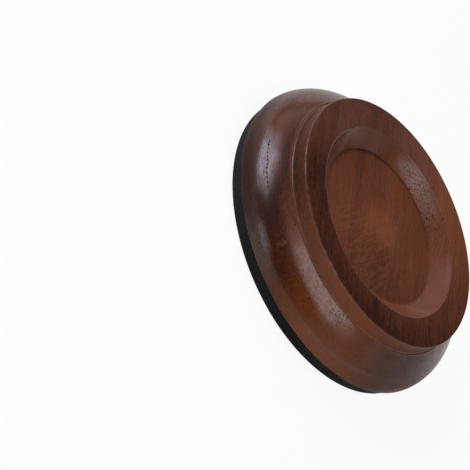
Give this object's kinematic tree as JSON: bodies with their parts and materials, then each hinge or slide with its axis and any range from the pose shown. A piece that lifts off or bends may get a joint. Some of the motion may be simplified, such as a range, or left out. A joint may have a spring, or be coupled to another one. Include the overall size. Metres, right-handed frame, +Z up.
{
  "type": "castor cup",
  "caption": "Round turned wooden cup with a bead, collar and shallow dish that holds a furniture castor or leg, on a glued foam pad.",
  "frame": {"origin": "centre of the pad's underside, on the floor that the cup stands on", "axes": "+Z up along the turning axis, out of the dish; X and Y lie anywhere in the floor, because the cup is a body of revolution"},
  "size_m": [0.1, 0.1, 0.022],
  "materials": {
    "stained_wood": "walnut-brown stain under a satin-gloss lacquer",
    "black_foam": "matte closed-cell foam"
  },
  "bodies": {
    "root": {"wood_cup": "stained_wood", "foam_pad": "black_foam"}
  },
  "joints": []
}
